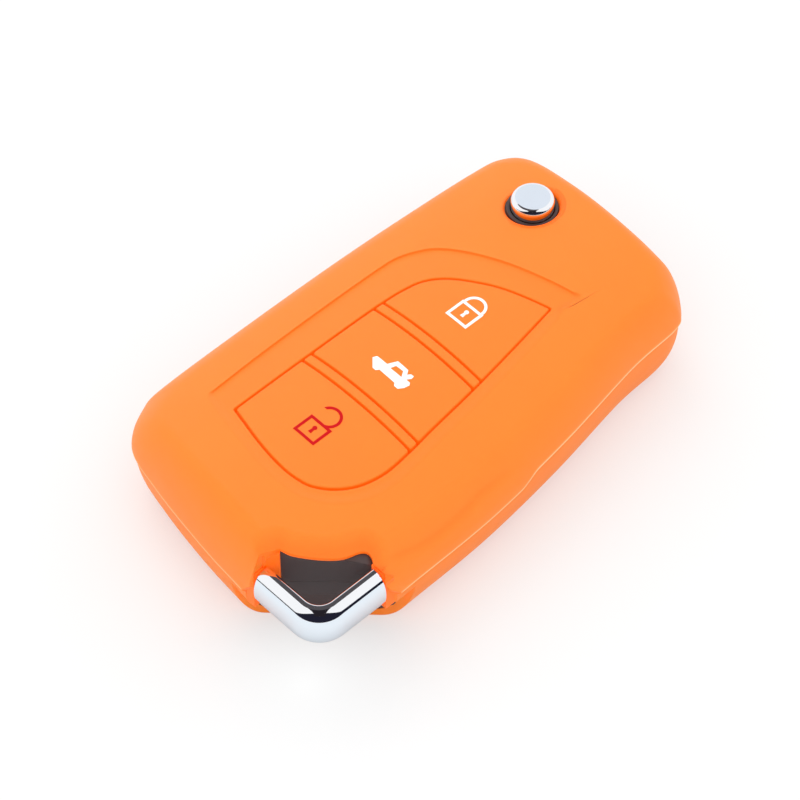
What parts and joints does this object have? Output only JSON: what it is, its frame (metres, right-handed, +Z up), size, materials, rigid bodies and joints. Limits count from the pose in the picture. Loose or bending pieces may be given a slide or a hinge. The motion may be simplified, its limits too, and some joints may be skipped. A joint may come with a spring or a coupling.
{
  "type": "key fob cover",
  "caption": "Silicone cover fitted on a folding car key: pads over the buttons, a chromed release button, a chromed corner loop for a key ring and a blade that flips out.",
  "frame": {"origin": "centre of the bounding box at the underside of the cover, on which it lies", "axes": "+X across the key towards the corner loop's side, +Y along the key towards the release button, +Z up, out of the face with the pads"},
  "size_m": [0.0477, 0.0805, 0.0206],
  "materials": {
    "silicone": "soft satin orange silicone",
    "ink_white": "printed white ink",
    "ink_red": "printed red ink",
    "case_plastic": "fine-textured black plastic",
    "chrome": "bright chrome plating",
    "steel": "fine brushed steel",
    "black_rubber": "matt black rubber",
    "black_resin": "moulded black resin",
    "plunger_plastic": "natural plastic",
    "board_laminate": "green lacquered laminate",
    "brass": "plated sheet and solder"
  },
  "bodies": {
    "key_case": {"cover_sleeve": "silicone", "upper_case": "case_plastic", "lower_case": "case_plastic", "case_screws": "brass", "corner_loop": "chrome", "key_mat": "black_rubber", "lock_switch": "black_resin", "trunk_switch": "black_resin", "unlock_switch": "black_resin", "circuit_board": "brass", "controller_chip": "black_resin", "quartz_can": "steel", "antenna_coil": "brass", "board_parts": "brass", "coin_cell": "brass", "upper_contact": "brass", "lower_contact": "brass", "module_tray": "brass", "transponder_chip": "black_resin", "release_spring": "steel", "hub_washer": "steel"},
    "lock_button": {"lock_pad": "silicone", "lock_symbol": "ink_white", "lock_key": "black_rubber", "lock_plunger": "plunger_plastic"},
    "trunk_button": {"trunk_pad": "silicone", "trunk_symbol": "ink_white", "trunk_key": "black_rubber", "trunk_plunger": "plunger_plastic"},
    "unlock_button": {"unlock_pad": "silicone", "unlock_symbol": "ink_red", "unlock_key": "black_rubber", "unlock_plunger": "plunger_plastic"},
    "release": {"release_button": "chrome"},
    "flip_key": {"blade_hub": "case_plastic", "key_blade": "steel", "blade_pin": "steel"}
  },
  "joints": [
    {"name": "lock_press", "type": "slide", "parent": "key_case", "child": "lock_button", "axis": [0, 0, -1], "range_m": [0, 0.0004], "stiffness_N_per_m": 2000},
    {"name": "trunk_press", "type": "slide", "parent": "key_case", "child": "trunk_button", "axis": [0, 0, -1], "range_m": [0, 0.0004], "stiffness_N_per_m": 2000},
    {"name": "unlock_press", "type": "slide", "parent": "key_case", "child": "unlock_button", "axis": [0, 0, -1], "range_m": [0, 0.0004], "stiffness_N_per_m": 2000},
    {"name": "release_press", "type": "slide", "parent": "key_case", "child": "release", "axis": [0, 0, -1], "range_m": [0, 0.0015], "stiffness_N_per_m": 2500, "deforming": ["release_spring"]},
    {"name": "blade_flip", "type": "hinge", "parent": "key_case", "child": "flip_key", "pos_m": [-0.0072, 0.03, 0.0095], "axis": [0, 0, -1], "range_deg": [0, 180]}
  ]
}
